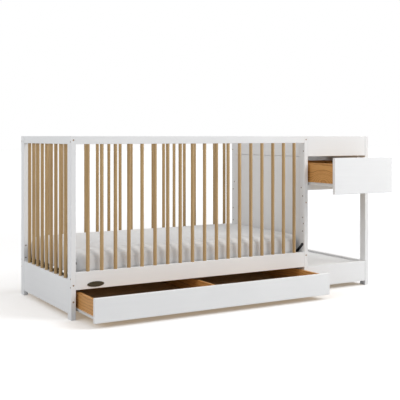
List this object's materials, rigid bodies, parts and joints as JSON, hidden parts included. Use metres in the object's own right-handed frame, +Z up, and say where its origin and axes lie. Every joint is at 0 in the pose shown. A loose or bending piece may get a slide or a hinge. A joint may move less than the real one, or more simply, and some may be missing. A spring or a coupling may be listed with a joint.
{
  "type": "crib with attached changer",
  "caption": "Spindle crib with a height-set mattress and an under-bed drawer, joined to a changer with a tray, a drawer and an open shelf.",
  "frame": {"origin": "on the floor, at the centre of the box that the part fills with its drawers open as pictured", "axes": "+X along the crib's length towards the changer, +Y from the drawers' fronts to the back, +Z up"},
  "size_m": [1.815, 0.977, 0.86],
  "materials": {
    "white_paint": "satin white paint on wood",
    "spindle_wood": "clear satin lacquer on light hardwood",
    "drawer_wood": "clear satin lacquer on oak",
    "white_steel": "white epoxy on steel",
    "nylon": "moulded nylon",
    "bolt_steel": "bronze-toned zinc",
    "zinc_steel": "bright zinc",
    "black_steel": "black powder coat",
    "dark_plate": "dark bronze, plain",
    "mattress_cover": "smooth white knit"
  },
  "bodies": {
    "root": {"left_front_post": "white_paint", "left_back_post": "white_paint", "left_top_rail": "white_paint", "left_lower_panel": "white_paint", "left_spindles": "spindle_wood", "front_top_rail": "white_paint", "front_bottom_rail": "white_paint", "front_spindles": "spindle_wood", "back_top_rail": "white_paint", "back_bottom_rail": "white_paint", "back_spindles": "spindle_wood", "right_front_post": "white_paint", "right_back_post": "white_paint", "right_upper_board": "white_paint", "right_partition": "white_paint", "changer_front_post": "white_paint", "changer_back_post": "white_paint", "changer_front_apron": "white_paint", "changer_back_apron": "white_paint", "changer_end_panel": "white_paint", "changer_back_panel": "white_paint", "changing_tray": "white_paint", "tray_cleats": "white_paint", "case_front_rail": "white_paint", "case_back_rail": "white_paint", "shelf_front_apron": "white_paint", "shelf_back_apron": "white_paint", "shelf_side_rail": "white_paint", "shelf_board": "white_paint", "shelf_cleats": "white_paint", "dowel_pins": "spindle_wood", "end_bolts": "bolt_steel", "rail_bolts": "bolt_steel", "barrel_nuts": "zinc_steel", "threaded_inserts": "bolt_steel", "oval_plate": "dark_plate", "fixed_slides": "white_steel"},
    "under_drawer": {"under_drawer_front": "white_paint", "under_drawer_left_side": "drawer_wood", "under_drawer_right_side": "drawer_wood", "under_drawer_back": "drawer_wood", "under_drawer_divider": "drawer_wood", "under_drawer_floor": "drawer_wood", "under_drawer_slides": "white_steel"},
    "changer_drawer": {"changer_drawer_front": "white_paint", "changer_drawer_left_side": "drawer_wood", "changer_drawer_right_side": "drawer_wood", "changer_drawer_back": "drawer_wood", "changer_drawer_floor": "drawer_wood", "changer_drawer_slides": "white_steel"},
    "mattress_support": {"mattress": "mattress_cover", "mattress_long_bars": "black_steel", "mattress_end_bars": "black_steel", "mattress_slats": "black_steel", "mattress_hangers": "black_steel", "hanger_bolts": "black_steel"},
    "under_front_rollers": {"under_front_rollers": "nylon"},
    "under_rear_rollers": {"under_rear_rollers": "nylon"},
    "changer_front_rollers": {"changer_front_rollers": "nylon"},
    "changer_rear_rollers": {"changer_rear_rollers": "nylon"}
  },
  "joints": [
    {"name": "under_drawer_slide", "type": "slide", "parent": "root", "child": "under_drawer", "axis": [0, -1, 0], "range_m": [-0.222, 0.228]},
    {"name": "changer_drawer_slide", "type": "slide", "parent": "root", "child": "changer_drawer", "axis": [0, -1, 0], "range_m": [-0.226, 0.149]},
    {"name": "mattress_height", "type": "slide", "parent": "root", "child": "mattress_support", "axis": [0, 0, 1], "range_m": [0, 0.2655]},
    {"name": "under_front_roller_spin", "type": "hinge", "parent": "root", "child": "under_front_rollers", "pos_m": [-0.2185, -0.2305, 0.0455], "axis": [1, 0, 0], "range_deg": [-2200, 2200]},
    {"name": "under_rear_roller_spin", "type": "hinge", "parent": "under_drawer", "child": "under_rear_rollers", "pos_m": [-0.2185, 0.1235, 0.0455], "axis": [1, 0, 0], "range_deg": [-2200, 2200]},
    {"name": "changer_front_roller_spin", "type": "hinge", "parent": "root", "child": "changer_front_rollers", "pos_m": [0.677, -0.2305, 0.599], "axis": [1, 0, 0], "range_deg": [-2200, 2200]},
    {"name": "changer_rear_roller_spin", "type": "hinge", "parent": "changer_drawer", "child": "changer_rear_rollers", "pos_m": [0.677, 0.0195, 0.599], "axis": [1, 0, 0], "range_deg": [-2200, 2200]}
  ],
  "couplings": [
    {"joint": "under_front_roller_spin", "follows": "under_drawer_slide", "rad_per_m": 166.67},
    {"joint": "under_rear_roller_spin", "follows": "under_drawer_slide", "rad_per_m": 166.67},
    {"joint": "changer_front_roller_spin", "follows": "changer_drawer_slide", "rad_per_m": 166.67},
    {"joint": "changer_rear_roller_spin", "follows": "changer_drawer_slide", "rad_per_m": 166.67}
  ]
}
